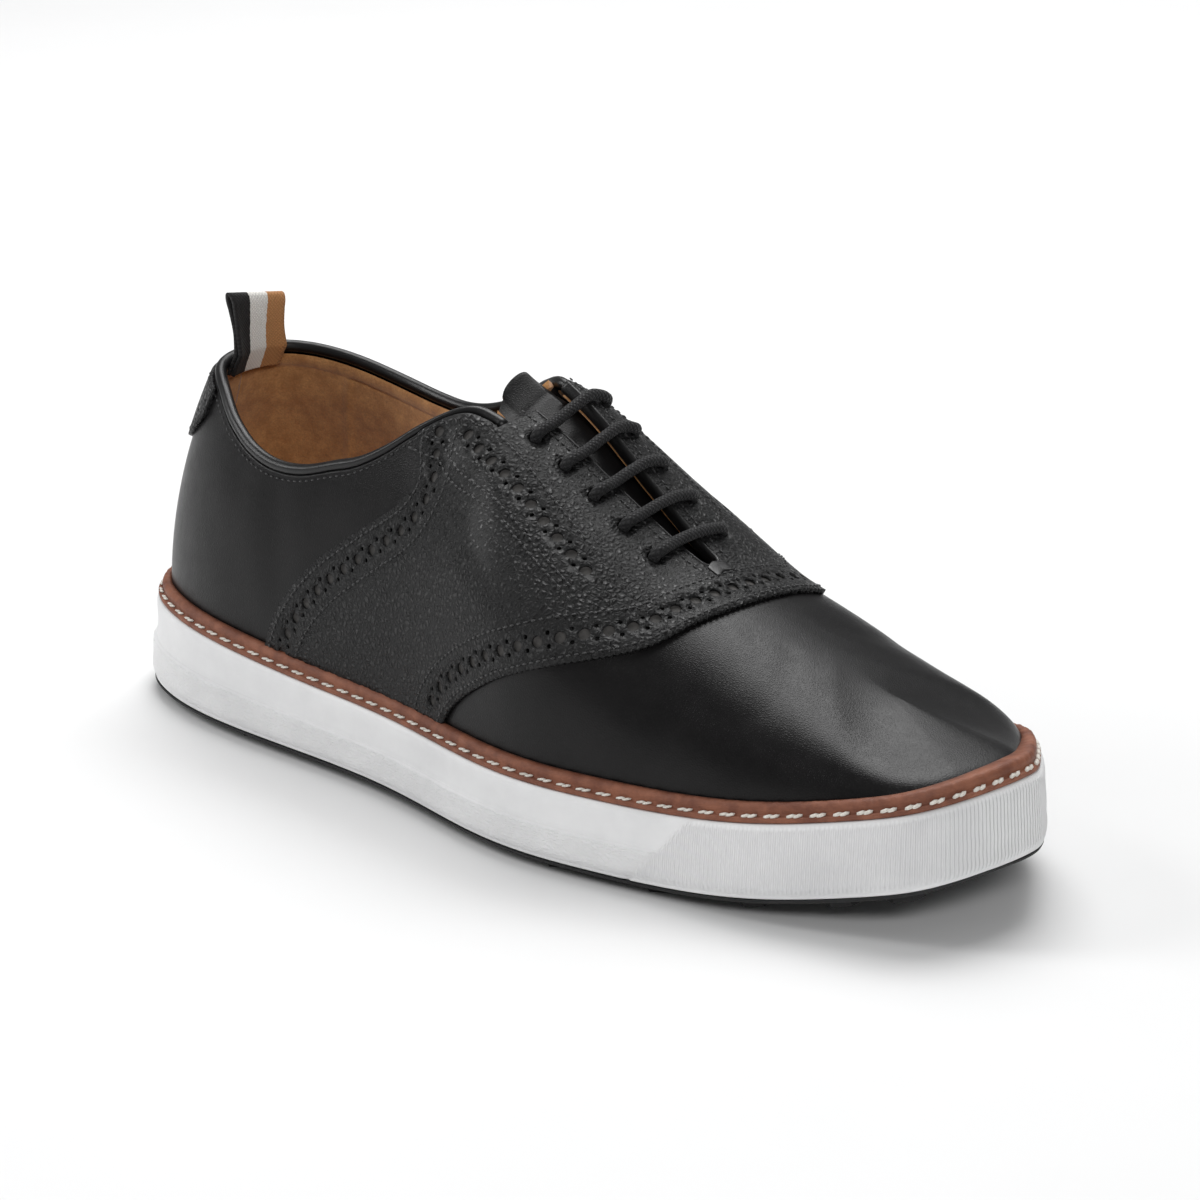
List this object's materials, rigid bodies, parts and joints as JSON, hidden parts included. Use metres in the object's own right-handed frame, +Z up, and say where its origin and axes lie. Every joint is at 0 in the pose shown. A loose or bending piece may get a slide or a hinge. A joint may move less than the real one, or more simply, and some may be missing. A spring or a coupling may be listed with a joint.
{
  "type": "saddle shoe",
  "caption": "Low laced leather saddle shoe for the right foot: smooth upper, perforated pebbled saddle, stitched welt, pale cup sole with a nubbed outsole, and a pull loop at the heel.",
  "frame": {"origin": "on the floor under the middle of the shoe's length and width", "axes": "+X to the toe, +Y to the inner (medial) side, +Z up"},
  "size_m": [0.3106, 0.1118, 0.124],
  "materials": {
    "tread_rubber": "matte black moulded rubber",
    "pale_rubber": "matte white rubber, smooth above and finely textured below",
    "welt_leather": "reddish brown leather with pale stitches",
    "smooth_leather": "smooth black calf, satin",
    "pebbled_leather": "pebbled black leather, satin",
    "trim_leather": "rolled black leather",
    "tongue_leather": "pebbled black leather",
    "lining_suede": "tan suede",
    "lace_cord": "round black braid",
    "striped_tape": "woven tape, striped black, white and tan"
  },
  "bodies": {
    "root": {"outsole": "tread_rubber", "midsole": "pale_rubber", "welt": "welt_leather", "upper": "smooth_leather", "saddle": "pebbled_leather", "heel_tab": "pebbled_leather", "collar_binding": "trim_leather", "tongue": "tongue_leather", "insole": "lining_suede", "lace": "lace_cord", "pull_tab": "striped_tape"}
  },
  "joints": []
}
